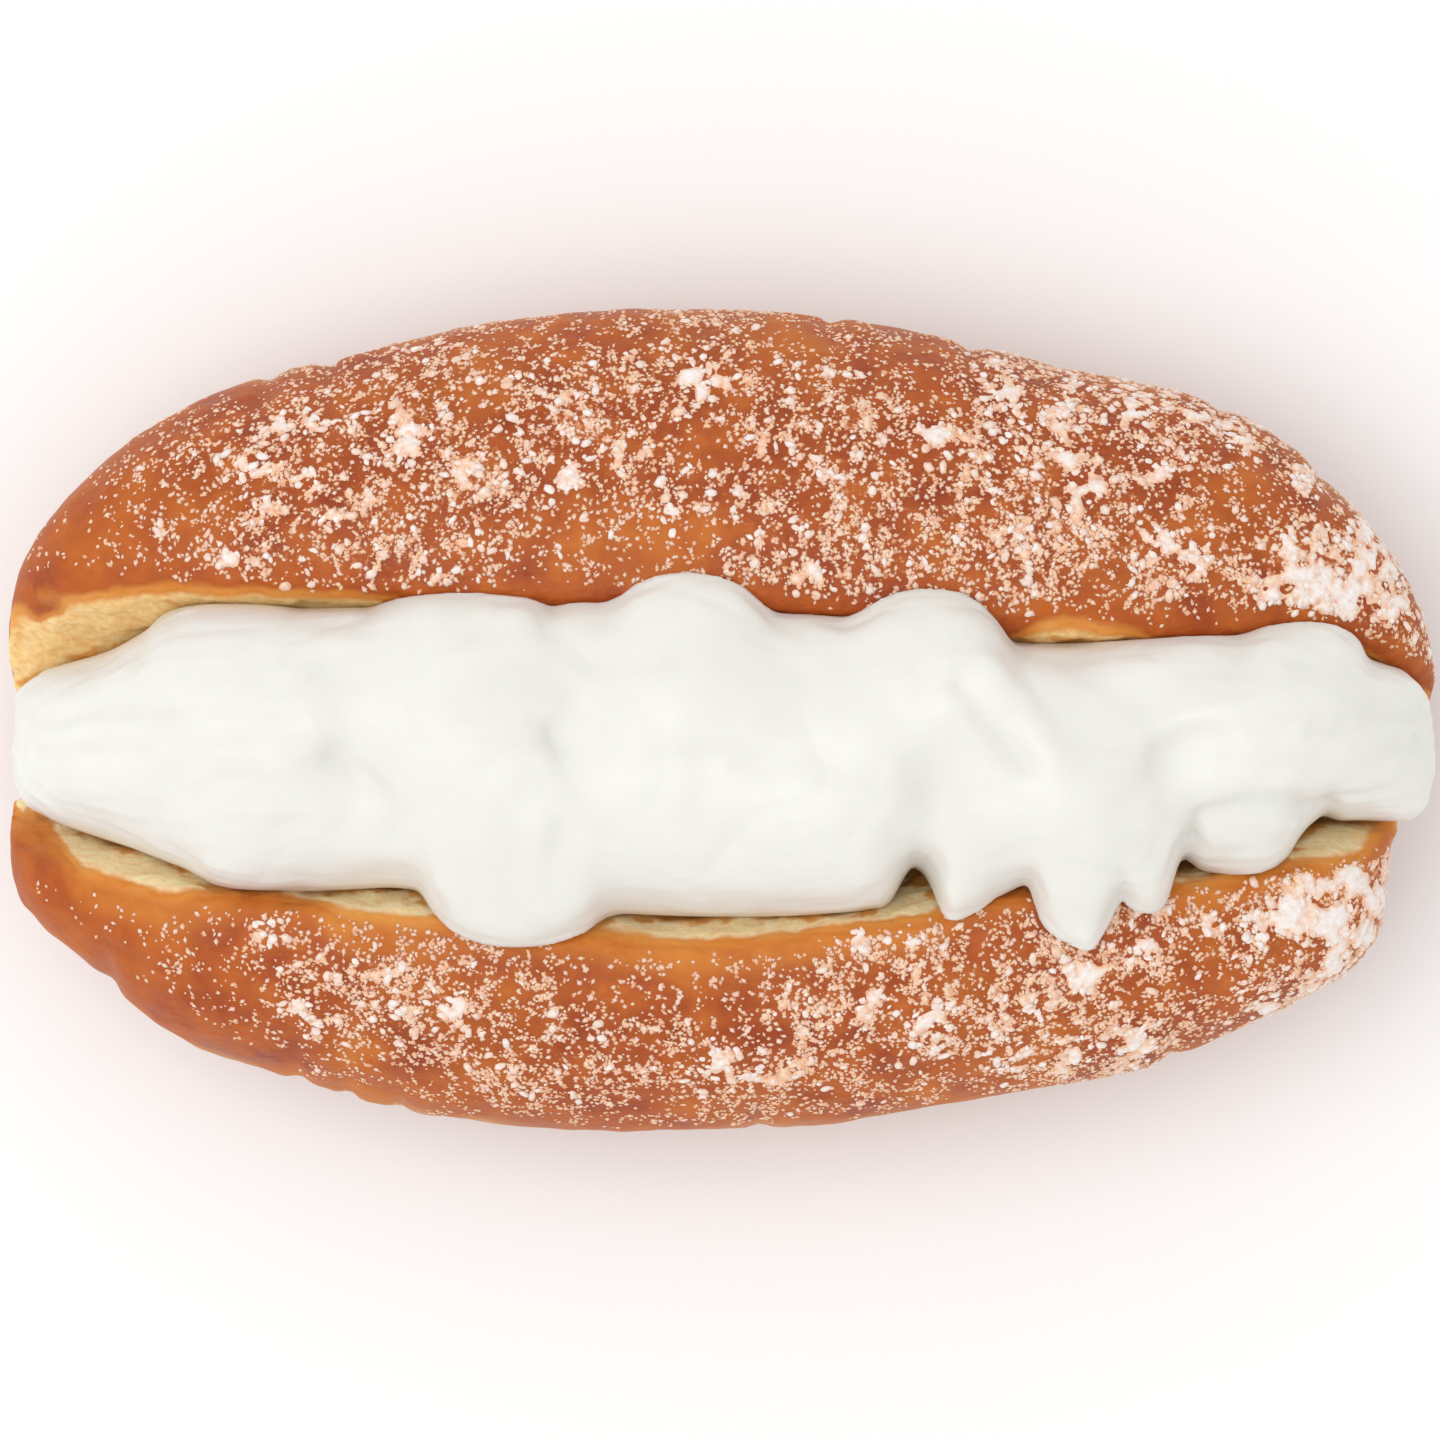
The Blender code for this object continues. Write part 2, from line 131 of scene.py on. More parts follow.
# Thick spots of sugar: centre (x, y) and radius in millimetres, then how thick
FAR_CLUMPS = (
    (-31.7, 28.6, 2.0, 0.8),
    (-61.8, 21.5, 1.2, 0.35),
    (-57.5, 18.6, 1.6, 0.3),
    (-48.6, 25.6, 1.5, 0.75),
    (-50.1, 16.8, 1.3, 0.8),
    (-45.4, 30.3, 1.2, 0.5),
    (-42.0, 24.6, 1.5, 0.6),
    (-38.8, 20.4, 1.4, 0.5),
    (-41.6, 31.3, 1.5, 0.6),
    (-42.6, 15.8, 2.4, 0.4),
    (-28.4, 15.2, 1.8, 0.4),
    (-27.2, 32.4, 1.2, 0.5),
    (-25.8, 23.6, 1.6, 0.4),
    (-22.4, 35.6, 1.2, 0.5),
    (-15.9, 25.1, 1.9, 0.9),
    (-1.8, 35.3, 2.4, 0.9),
    (-5.6, 21.5, 1.4, 0.6),
    (3.4, 18.6, 1.2, 0.7),
    (9.8, 15.4, 1.2, 0.7),
    (21.6, 29.2, 1.9, 0.9),
    (28.8, 37.2, 1.6, 0.5),
    (29.8, 33.4, 2.0, 0.75),
    (34.4, 31.8, 1.8, 0.7),
    (36.4, 34.8, 1.8, 0.7),
    (42.8, 31.9, 2.0, 0.75),
    (45.4, 33.4, 1.8, 0.5),
    (49.6, 31.6, 2.0, 0.55),
    (53.8, 29.6, 2.0, 0.6),
    (37.4, 23.5, 2.2, 0.8),
    (35.8, 27.0, 1.6, 0.7),
    (30.6, 27.6, 1.6, 0.6),
    (44.6, 18.6, 2.0, 0.7),
    (45.0, 25.6, 1.6, 0.7),
    (49.1, 17.4, 1.8, 0.8),
    (61.0, 25.2, 2.0, 0.7),
    (62.4, 19.4, 1.6, 0.5),
    (67.2, 20.2, 2.0, 0.8),
    (58.6, 17.4, 2.0, 0.7),
    (60.6, 14.2, 2.8, 0.95),
    (64.6, 12.4, 2.6, 0.95),
    (66.4, 16.2, 2.2, 0.85),
    (69.6, 15.4, 1.8, 0.8),
    (70.3, 11.3, 1.8, 0.7),
    (56.6, 13.0, 1.8, 0.7),
)
NEAR_CLUMPS = (
    (-52.0, -22.4, 1.5, 0.35),
    (-47.0, -21.8, 1.5, 0.45),
    (-43.4, -29.8, 1.7, 0.7),
    (-36.6, -24.8, 1.4, 0.4),
    (-27.6, -28.8, 2.0, 0.7),
    (-24.8, -31.8, 1.5, 0.5),
    (-0.5, -35.3, 2.2, 0.8),
    (3.4, -36.4, 1.4, 0.6),
    (13.0, -24.6, 1.4, 0.5),
    (21.5, -30.8, 2.2, 0.8),
    (29.4, -35.4, 2.2, 0.6),
    (36.7, -34.4, 2.2, 0.6),
    (43.0, -33.4, 2.2, 0.6),
    (6.3, -29.4, 1.5, 0.5),
    (15.4, -28.6, 1.9, 0.6),
    (14.6, -22.2, 1.8, 0.5),
    (19.1, -22.4, 1.3, 0.5),
    (32.7, -29.0, 1.6, 0.6),
    (37.0, -26.4, 2.0, 0.8),
    (43.6, -23.4, 1.7, 0.75),
    (50.2, -21.0, 1.8, 0.65),
    (55.2, -21.0, 1.7, 0.7),
    (68.6, -13.8, 1.5, 0.75),
    (56.7, -30.0, 2.0, 0.7),
    (61.4, -28.6, 2.0, 0.7),
    (58.4, -20.2, 2.2, 0.9),
    (61.0, -17.6, 2.0, 0.9),
    (65.2, -16.4, 2.0, 0.9),
    (68.2, -18.6, 1.8, 0.85),
    (63.2, -21.0, 2.4, 1.0),
    (67.0, -22.6, 1.8, 0.85),
    (64.0, -25.2, 1.8, 0.8),
)
# Where sugar has slid off, in millimetres: centre (x, y), half length, half width, then the share missing
BARE_SPOTS = (
    (-59.0, 29.8, 6.0, 3.2, 0.75),
    (-49.5, 34.2, 8.0, 3.6, 0.95),
    (-25.0, 38.8, 6.0, 2.5, 0.6),
    (-15.2, 41.4, 9.0, 3.5, 0.8),
    (12.6, 39.9, 10.0, 5.0, 0.65),
    (22.0, 36.2, 4.0, 5.0, 0.8),
    (54.5, 23.6, 5.5, 5.0, 0.92),
    (62.5, 22.4, 3.2, 1.8, 0.85),
    (-53.5, 22.0, 3.6, 3.6, 0.7),
    (41.0, 14.6, 6.0, 3.0, 0.45),
    (41.5, -28.8, 4.0, 2.4, 0.5),
    (-3.1, 18.4, 7.0, 3.5, 0.85),
    (-13.6, 18.9, 4.0, 5.0, 0.7),
    (-12.6, -25.7, 6.0, 5.0, 0.75),
    (-0.5, -28.3, 5.5, 4.0, 0.92),
    (6.3, -22.0, 6.0, 3.0, 0.8),
    (50.9, -27.0, 5.0, 4.5, 0.92),
    (61.2, -24.4, 1.4, 1.4, 0.9),
    (-40.9, -22.0, 6.0, 3.0, 0.5),
    (-52.0, -27.5, 5.5, 2.5, 0.55),
    (-55.0, -32.5, 8.0, 3.5, 0.75),
    (-46.0, -35.5, 7.0, 3.0, 0.9),
    (-33.6, -39.3, 9.0, 3.0, 0.85),
    (-12.6, -41.4, 10.0, 2.0, 0.6),
)
# The strip beside the slit that sugar leaves bare: x and width in millimetres
FAR_STRIP = (
    (-75, 3.0), (-50, 2.5), (-47, 0.9), (-28, 0.9), (-22, 3.5), (4, 4.0),
    (9, 1.4), (24, 1.5), (30, 3.6), (57, 3.5), (66, 0.8),
)
NEAR_STRIP = (
    (-75, 3.0), (-62, 2.5), (-54, 1.2), (-40, 1.2), (-15, 2.0), (10, 2.4), (15, 1.2), (50, 1.1), (60, 0.3),
)
# The thin coat of sugar has none where the dusting is less than this
BARE_BELOW = 0.06
# Its height starts from this level and shows above 0; one unit of height lifts it this many millimetres
COAT_LEVEL = -0.9
COAT_RISE = 0.6
COAT_DEPTH = 0.3 * MM

# Loose sugar: how many of each, their least and most radius in millimetres, and how white, 0 to 1
FAR_GRAINS = 17500
NEAR_GRAINS = 13500
LUMPS = 1700
CLUMP_BALLS = 900
GRAIN_RADII = (0.14, 0.38)
LUMP_RADII = (0.3, 0.65)
CLUMP_RADII = (0.22, 0.5)
GRAIN_WHITENESS = (0.0, 0.5)
LUMP_WHITENESS = (0.3, 1.0)
CLUMP_WHITENESS = (0.75, 1.0)

# The square picture takes in this width at the framed level, seen from this height, all in metres
FRAME_WIDTH = 0.15106
FRAMED_LEVEL = 0.02
CAMERA_HEIGHT = 0.90
# The camera's sensor in millimetres
SENSOR = 36.0


def srgb(red, green, blue):
    """A colour given as 0 to 255, in the linear values that shaders take."""
    share = np.array((red, green, blue)) / 255
    linear = np.where(share <= 0.04045, share / 12.92, ((share + 0.055) / 1.055) ** 2.4)
    return (*linear.tolist(), 1.0)


def smooth(value, low, high):
    """0 below low, 1 above high, and an even S between them."""
    share = np.clip((value - low) / (high - low), 0, 1)
    return share * share * (3 - 2 * share)


def hills(points, size, seed):
    """Soft hills and hollows at each point, about -1 to 1, of the given size."""
    place = points / size + seed * 17.13
    cell = np.floor(place).astype(np.int64)
    inside = place - cell
    blend = inside**3 * (inside * (inside * 6 - 15) + 10)
    total = np.zeros(len(points))
    for corner in itertools.product((0, 1), repeat=3):
        x, y, z = (cell + corner).T
        # Large odd numbers scramble the corner's place into a slope that looks random
        key = (x * 73856093) ^ (y * 19349663) ^ (z * 83492791) ^ (seed * 2654435)
        key = ((key ^ (key >> 13)) * 1274126177) & 0x7FFFFFFF
        key = ((key ^ (key >> 15)) * 73244475) & 0x7FFFFFFF
        slope = np.stack([((key >> shift) & 1023) / 511.5 - 1 for shift in (1, 11, 21)], axis=1)
        weight = np.prod(np.where(corner, blend, 1 - blend), axis=1)
        total += weight * np.sum(slope * (inside - corner), axis=1)
    return total * 1.7


def smooth_curve(points, x):
    """The heights, at an array of x, of a smooth curve through points that run along X."""
    knots, heights = np.array(points, float).T
    order, last = np.arange(len(knots)), len(knots) - 1
    before, after = np.maximum(order - 1, 0), np.minimum(order + 1, last)
    slopes = (heights[after] - heights[before]) / (knots[after] - knots[before])
    place = np.clip(np.searchsorted(knots, x) - 1, 0, last - 1)
    span = knots[place + 1] - knots[place]
    t = np.clip((x - knots[place]) / span, 0, 1)
    rise = heights[place] * (2 * t**3 - 3 * t**2 + 1) + heights[place + 1] * (3 * t**2 - 2 * t**3)
    return rise + span * (slopes[place] * (t**3 - 2 * t**2 + t) + slopes[place + 1] * (t**3 - t**2))


def read_points(mesh):
    """(points, normals) of the mesh as arrays."""
    points = np.empty(len(mesh.vertices) * 3, np.float32)
    mesh.vertices.foreach_get("co", points)
    normals = np.empty(len(mesh.vertices) * 3, np.float32)
    mesh.vertex_normals.foreach_get("vector", normals)
    return points.reshape(-1, 3).astype(float), normals.reshape(-1, 3).astype(float)


def write_points(mesh, points):
    """Moves the mesh's points to these places."""
    mesh.vertices.foreach_set("co", points.astype(np.float32).ravel())
    mesh.update()


def inside_box(points):
    """The points, with the few that stick out of the solids' box set back onto it."""
    return np.clip(points, np.array(cad_box[0]), np.array(cad_box[1]))


def write_attribute(mesh, name, values):
    """Gives each point of the mesh a number that materials can read."""
    layer = mesh.attributes.new(name, "FLOAT", "POINT")
    layer.data.foreach_set("value", np.asarray(values, np.float32))


def link_piece(name, mesh, material):
    """A new object of that mesh, which rides on the one body."""
    mesh.shade_smooth()
    mesh.materials.clear()
    mesh.materials.append(material)
    piece = bpy.data.objects.new(name, mesh)
    bpy.context.scene.collection.objects.link(piece)
    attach(piece, "root")
    return piece


def under_modifiers(mesh, *modifiers):
    """A new mesh: this one as the modifiers leave it, each given as (kind, settings)."""
    draft = bpy.data.objects.new("draft", mesh)
    bpy.context.scene.collection.objects.link(draft)
    for kind, settings in modifiers:
        modifier = draft.modifiers.new(kind, kind)
        for name, value in settings.items():
            setattr(modifier, name, value)
    bpy.context.view_layer.update()
    graph = bpy.context.evaluated_depsgraph_get()
    made = bpy.data.meshes.new_from_object(draft.evaluated_get(graph))
    bpy.data.objects.remove(draft, do_unlink=True)
    return made


def fine_mesh(node, voxel, softening):
    """The node's solid as an even, softened mesh fine enough to model on."""
    skin = ("REMESH", {"mode": "VOXEL", "voxel_size": voxel})
    soften = ("SMOOTH", {"factor": 0.5, "iterations": softening})
    mesh = under_modifiers(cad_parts[node].data.copy(), skin, soften)
    drop_islands(mesh, LEAST_SOLID_FACES)
    return mesh


def drop_faces(mesh, faces):
    """Deletes these faces, and the points that only they used."""
    bm = bmesh.new()
    bm.from_mesh(mesh)
    bm.faces.ensure_lookup_table()
    bmesh.ops.delete(bm, geom=[bm.faces[i] for i in faces], context="FACES")
    bm.to_mesh(mesh)
    bm.free()


def drop_islands(mesh, fewest):
    """Deletes the scraps of the mesh: islands of fewer faces than that."""
    bm = bmesh.new()
    bm.from_mesh(mesh)
    bm.faces.ensure_lookup_table()
    seen = set()
    scraps = []
    for first in bm.faces:
        if first.index in seen:
            continue
        seen.add(first.index)
        island = [first]
        for face in island:
            for other in {f for edge in face.edges for f in edge.link_faces}:
                if other.index not in seen:
                    seen.add(other.index)
                    island.append(other)
        if len(island) < fewest:
            scraps += island
    bmesh.ops.delete(bm, geom=scraps, context="FACES")
    bm.to_mesh(mesh)
    bm.free()


def averaged(mesh, values, rounds):
    """The values at the points, each mixed with those of its neighbours."""
    ends = np.empty(len(mesh.edges) * 2, np.int32)
    mesh.edges.foreach_get("vertices", ends)
    first, second = ends.reshape(-1, 2).T
    count = len(values)
    neighbours = np.bincount(first, minlength=count) + np.bincount(second, minlength=count)
    for _ in range(rounds):
        total = np.bincount(first, values[second], count) + np.bincount(second, values[first], count)
        values = 0.5 * values + 0.5 * total / np.maximum(neighbours, 1)
    return values


def browning(points):
    """How far down into the slit the brown reaches at each point, in millimetres."""
    x = points[:, 0] / MM
    far, near = np.interp(x, *zip(*FAR_BROWNING)), np.interp(x, *zip(*NEAR_BROWNING))
    return np.where(points[:, 1] > -4 * MM, far, near)


def surface_of(node):
    """The node's solid as a tree of faces, for finding the nearest and for casting rays."""
    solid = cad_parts[node].data
    return BVHTree.FromPolygons([v.co for v in solid.vertices], [tuple(p.vertices) for p in solid.polygons])


def closeness_to_cream(points, from_edge):
    """1 where the slit's walls meet the cream, fading to 0 over about 2 mm, and 0 off the walls."""
    cream = surface_of("cream")
    closeness = np.zeros(len(points))
    for index in (from_edge < 0).nonzero()[0]:
        away = cream.find_nearest(points[index])[3]
        closeness[index] = np.exp(-((away / (1.4 * MM)) ** 2))
    return closeness


def distance_from_edge(points):
    """How far each point of the dough is from the slit's edge, in millimetres: less than 0 on its walls."""
    tree = surface_of("doughnut")
    x, y, z = points.T
    ends = np.minimum(np.abs(x) / HALF_LENGTH, 1) ** SLIT_BOTTOM_POWER
    bottom = SLIT_BOTTOM_Z + (SLIT_BOTTOM_END_Z - SLIT_BOTTOM_Z) * ends
    on_wall = z > bottom - BELOW_SLIT
    edges = []
    for side, outward in ((SLIT_FAR_SIDE, 1), (SLIT_NEAR_SIDE, -1)):
        crests = []
        stations = np.arange(*EDGE_STATIONS)
        for station, beside in zip(stations, smooth_curve(side, stations) + 0.5 * outward):
            hit = tree.ray_cast(Vector((station, beside, 100)) * MM, Vector((0, 0, -1)))[0]
            if hit:
                crests.append((station * MM, (beside - 0.5 * outward) * MM, hit.z))
        edges += crests
        crest_x, _, crest_z = np.array(crests).T
        crest = np.interp(x, crest_x, crest_z)
        foot = SLIT_BOTTOM_Y + outward * SLIT_BOTTOM_WIDTH / 2
        level = np.clip((z - bottom) / (crest - bottom), 0, 1.3) ** SLIT_FACE_POWER
        wall = foot + (smooth_curve(side, x / MM) * MM - foot) * level
        on_wall &= (y - wall) * outward < BEHIND_WALL
        on_wall &= (y - smooth_curve(side, x / MM) * MM) * outward < 0
    near_edge = KDTree(len(edges))
    for index, edge in enumerate(edges):
        near_edge.insert(edge, index)
    near_edge.balance()
    away = np.array([near_edge.find(point)[2] for point in points]) / MM
    return np.where(on_wall, -away, away)


def clump_thickness(points):
    """How much the thick spots of sugar add at each point."""
    x, y = points[:, 0] / MM, points[:, 1] / MM
    thick = np.zeros(len(points))
    for centre_x, centre_y, radius, amount in FAR_CLUMPS + NEAR_CLUMPS:
        away = ((x - centre_x) ** 2 + (y - centre_y) ** 2) / radius**2
        thick = np.maximum(thick, amount * np.exp(-away))
    return thick


def dusting(points, normals, from_edge):
    """How thickly sugar lies on the crust at each point: 0 bare, 1 nearly covered."""
    x, y = points[:, 0] / MM, points[:, 1] / MM
    far = y > 0
    lean = normals[:, 2] + 0.16 * hills(points, 9 * MM, 5) - np.where(far, 0, 0.26 - 0.26 * smooth(x, 10, 50))
    facing_up = 0.45 * smooth(lean, -0.05, 0.15) + 0.55 * smooth(lean, 0.1, 0.5)
    strip = np.where(far, np.interp(x, *zip(*FAR_STRIP)), np.interp(x, *zip(*NEAR_STRIP)))
    away_from_slit = smooth(from_edge, 0.35 * strip, strip + 1.3)
    along = 0.07 + 0.93 * np.where(far, smooth(x, -67, -46), smooth(x, -60, -37))
    clusters = 0.26 * hills(points, 10 * MM, 3) + 0.24 * hills(points, 4.2 * MM, 4)
    far_level = 0.56 + 0.20 * smooth(x, 36, 60)
    near_level = 0.46 + 0.08 * smooth(x, 20, 44) + 0.35 * smooth(x, 50, 62)
    clusters += np.where(far, far_level, near_level)
    covered = np.clip(clusters, 0, 1.15) * facing_up * away_from_slit * along
    for centre_x, centre_y, half_length, half_width, share in BARE_SPOTS:
        away = ((x - centre_x) / half_length) ** 2 + ((y - centre_y) / half_width) ** 2
        covered *= 1 - share * np.exp(-away)
    return covered


def speckle(points):
    """The fine pattern that sugar gathers in, about -1 to 1: short wriggling blots a millimetre wide.

    Towards the middle they're drawn out across the doughnut.
    """
    drawn = 1 - 0.4 * np.exp(-((points[:, 0] / MM - 6) / 26) ** 2)
    points = points * np.stack((np.ones(len(points)), drawn, drawn), axis=1)
    drift = np.stack([hills(points, 2.2 * MM, seed) for seed in (33, 34, 35)], axis=1) * 0.5 * MM
    return 0.45 * hills(points, 2.8 * MM, 31) + 0.80 * hills(points + drift, 1.35 * MM, 32)


def add_node(tree, kind, inputs=None, **settings):
    """A shader node with its settings and the values or sockets of its inputs."""
    node = tree.nodes.new(kind)
    for name, value in settings.items():
        setattr(node, name, value)
    for name, value in (inputs or {}).items():
        socket = node.inputs[name]
        if isinstance(value, bpy.types.NodeSocket):
            tree.links.new(value, socket)
        else:
            socket.default_value = value
    return node


def new_material(name):
    """A new material: (material, node tree, shader, object coordinates)."""
    material = bpy.data.materials.new(name)
    material.use_nodes = True
    tree = material.node_tree
    shader = tree.nodes["Principled BSDF"]
    coordinates = add_node(tree, "ShaderNodeTexCoord").outputs["Object"]
    return material, tree, shader, coordinates


def attribute(tree, name):
    """The number that each point of the mesh holds under that name."""
    return add_node(tree, "ShaderNodeAttribute", attribute_name=name).outputs["Fac"]


def noise_in(tree, coordinates, size, detail=2.0, roughness=0.5):
    """A noise value 0 to 1 with features of that size in metres."""
    inputs = {"Vector": coordinates, "Scale": 0.5 / size, "Detail": detail, "Roughness": roughness}
    return add_node(tree, "ShaderNodeTexNoise", inputs).outputs["Fac"]


def math_node(tree, operation, first, second, clamp=False):
    """The result of that operation on two values."""
    node = add_node(tree, "ShaderNodeMath", {0: first, 1: second}, operation=operation, use_clamp=clamp)
    return node.outputs[0]


def swing(tree, noise, strength):
    """A noise value 0 to 1 turned into one about 0."""
    return math_node(tree, "MULTIPLY", math_node(tree, "SUBTRACT", noise, 0.5), strength)


def remap(tree, value, low, high, at_low, at_high):
    """The result of an even slope: at_low where the value is low, at_high where it is high, held beyond."""
    inputs = {"Value": value, "From Min": low, "From Max": high, "To Min": at_low, "To Max": at_high}
    return add_node(tree, "ShaderNodeMapRange", inputs).outputs["Result"]


def ramp(tree, value, stops):
    """A colour ramp with stops as (place, red, green, blue), the colours 0 to 255."""
    node = add_node(tree, "ShaderNodeValToRGB", {"Fac": value})
    elements = node.color_ramp.elements
    while len(elements) < len(stops):
        elements.new(0.5)
    for element, (place, *colour) in zip(elements, stops):
        element.position = place
        element.color = srgb(*colour)
    return node.outputs["Color"]


def step_between(tree, value, low, high):
    """0 below low and 1 above high, smoothly."""
    inputs = {"Value": value, "From Min": low, "From Max": high}
    node = add_node(tree, "ShaderNodeMapRange", inputs, interpolation_type="SMOOTHSTEP")
    return node.outputs["Result"]


def mix(tree, share, first, second):
    """Between two colours."""
    node = add_node(tree, "ShaderNodeMix", data_type="RGBA")
    for socket, value in zip((node.inputs[0], node.inputs[6], node.inputs[7]), (share, first, second)):
        if isinstance(value, bpy.types.NodeSocket):
            tree.links.new(value, socket)
        else:
            socket.default_value = value
    return node.outputs[2]


def bump(tree, height, depth, normal=None):
    """A normal with relief of that depth in metres."""
    inputs = {"Height": height, "Strength": 1.0, "Distance": depth}
    if normal:
        inputs["Normal"] = normal
    return add_node(tree, "ShaderNodeBump", inputs).outputs["Normal"]


def crust_material():
    """Fried crust, its golden rim beside the slit, and the pale crumb within, with painted shade where the
    crumb meets the cream and painted light on the near side's crumb.
    """
    material, tree, shader, place = new_material("fried_crust")
    broad = noise_in(tree, place, 9 * MM, 2)
    blotches = noise_in(tree, place, 2.6 * MM, 3, 0.6)
    fine = noise_in(tree, place, 0.45 * MM, 2, 0.6)

    browns = ((0.3, 152, 62, 27), (0.45, 174, 82, 32), (0.6, 190, 98, 37), (0.75, 203, 116, 47))
    brown = ramp(tree, blotches, browns)
    orange = ramp(tree, blotches, ((0.3, 182, 89, 30), (0.7, 206, 118, 45)))
    light = ramp(tree, blotches, ((0.3, 172, 77, 21), (0.7, 197, 105, 38)))
    crust = mix(tree, step_between(tree, broad, 0.45, 0.65), brown, orange)
    crust = mix(tree, attribute(tree, "left_end"), crust, light)
    # Where sugar lies the crust is painted redder and darker: partly its own redder tone, partly painted
    # shade among the sugar grains
    red = ramp(tree, blotches, ((0.3, 136, 55, 27), (0.5, 155, 70, 32), (0.7, 175, 88, 41)))
    crust = mix(tree, math_node(tree, "MULTIPLY", attribute(tree, "dust"), 0.9, clamp=True), crust, red)

    far_crumb = ramp(tree, fine, ((0.3, 234, 192, 124), (0.5, 244, 206, 144), (0.7, 249, 220, 166)))
    far_crumb = mix(tree, step_between(tree, blotches, 0.56, 0.72), far_crumb, srgb(222, 168, 96))
    # Painted light: the near side's crumb is a paler copy of the far side's, making up for the shade the
    # cream's edge casts on it
    near_crumb_painted_lit = ramp(tree, fine, ((0.3, 252, 213, 158), (0.5, 255, 227, 180), (0.7, 255, 238, 200)))
    crumb = mix(tree, attribute(tree, "far_side"), near_crumb_painted_lit, far_crumb)
    # Painted shade: the crumb turns darker tan where it meets the cream, under the cream's edge
    cream_seam_shade = math_node(tree, "ADD", attribute(tree, "cream_seam_shade"), swing(tree, noise_in(tree, place, 1.2 * MM), 2.4))
    crumb = mix(tree, step_between(tree, cream_seam_shade, 0.55, 1.1), crumb, srgb(222, 158, 84))

    golden = ramp(tree, blotches, ((0.35, 212, 130, 46), (0.65, 230, 162, 84)))
    far_rim = ramp(tree, blotches, ((0.35, 164, 73, 26), (0.65, 190, 96, 33)))
    near_rim = ramp(tree, blotches, ((0.35, 192, 102, 32), (0.65, 214, 132, 52)))
    rim = mix(tree, attribute(tree, "far_side"), near_rim, far_rim)
    edge = math_node(tree, "ADD", attribute(tree, "brownness"), swing(tree, blotches, 4.0))
    colour = mix(tree, step_between(tree, edge, -2.4, -0.9), crumb, golden)
    colour = mix(tree, step_between(tree, edge, -0.6, 0.9), colour, rim)
    colour = mix(tree, step_between(tree, edge, 1.6, 4.5), colour, crust)
    colour = mix(tree, attribute(tree, "waist"), colour, srgb(222, 166, 98))

    specks = noise_in(tree, place, 0.32 * MM, 2, 0.7)
    powder = math_node(tree, "ADD", specks, math_node(tree, "MULTIPLY", attribute(tree, "dust"), 0.45))
    colour = mix(tree, step_between(tree, powder, 0.82, 1.0), colour, srgb(226, 156, 112))
    tree.links.new(colour, shader.inputs["Base Color"])

    roughness = remap(tree, step_between(tree, blotches, 0.2, 0.8), 0, 1, 0.42, 0.62)
    tree.links.new(roughness, shader.inputs["Roughness"])
    shader.inputs["Specular IOR Level"].default_value = 0.25
    tree.links.new(remap(tree, edge, 1, -1, 0.0, 0.6), shader.inputs["Subsurface Weight"])
    shader.inputs["Subsurface Radius"].default_value = (0.0026, 0.0018, 0.0010)
    shader.inputs["Subsurface Scale"].default_value = 1.0
    pores = bump(tree, fine, 0.12 * MM)
    stretch = {0: place, 1: (0.3, 1.0, 0.7)}
    stretched = add_node(tree, "ShaderNodeVectorMath", stretch, operation="MULTIPLY").outputs[0]
    wrinkles = bump(tree, noise_in(tree, stretched, 0.8 * MM, 2, 0.6), 0.3 * MM, pores)
    tree.links.new(bump(tree, blotches, 0.35 * MM, wrinkles), shader.inputs["Normal"])
    return material


def cream_material():
    """Whipped cream: off-white, soft, a little light passing through it."""
    material, tree, shader, place = new_material("whipped_cream")
    tone = noise_in(tree, place, 5 * MM, 2)
    colour = ramp(tree, tone, ((0.35, 234, 233, 226), (0.65, 238, 237, 231)))
    tree.links.new(colour, shader.inputs["Base Color"])
    shader.inputs["Roughness"].default_value = 0.42
    shader.inputs["Specular IOR Level"].default_value = 0.35
    shader.inputs["Subsurface Weight"].default_value = 0.5
    shader.inputs["Subsurface Radius"].default_value = (0.0022, 0.0020, 0.0016)
    shader.inputs["Subsurface Scale"].default_value = 1.0
    silk = noise_in(tree, place, 0.8 * MM, 3, 0.6)
    tree.links.new(bump(tree, silk, 0.08 * MM), shader.inputs["Normal"])
    return material


def sugar_material():
    """Icing sugar: matt white where it lies thick, tinted by the crust where it is thin."""
    material, tree, shader, place = new_material("icing_sugar")
    thick = attribute(tree, "thickness")
    grain = noise_in(tree, place, 0.35 * MM, 2, 0.6)
    thin = ramp(tree, grain, ((0.35, 236, 168, 124), (0.65, 251, 210, 170)))
    white = ramp(tree, grain, ((0.3, 240, 224, 216), (0.7, 252, 246, 242)))
    tree.links.new(mix(tree, thick, thin, white), shader.inputs["Base Color"])
    shader.inputs["Roughness"].default_value = 0.85
    shader.inputs["Specular IOR Level"].default_value = 0.25
    tree.links.new(bump(tree, grain, 0.1 * MM), shader.inputs["Normal"])
    return material


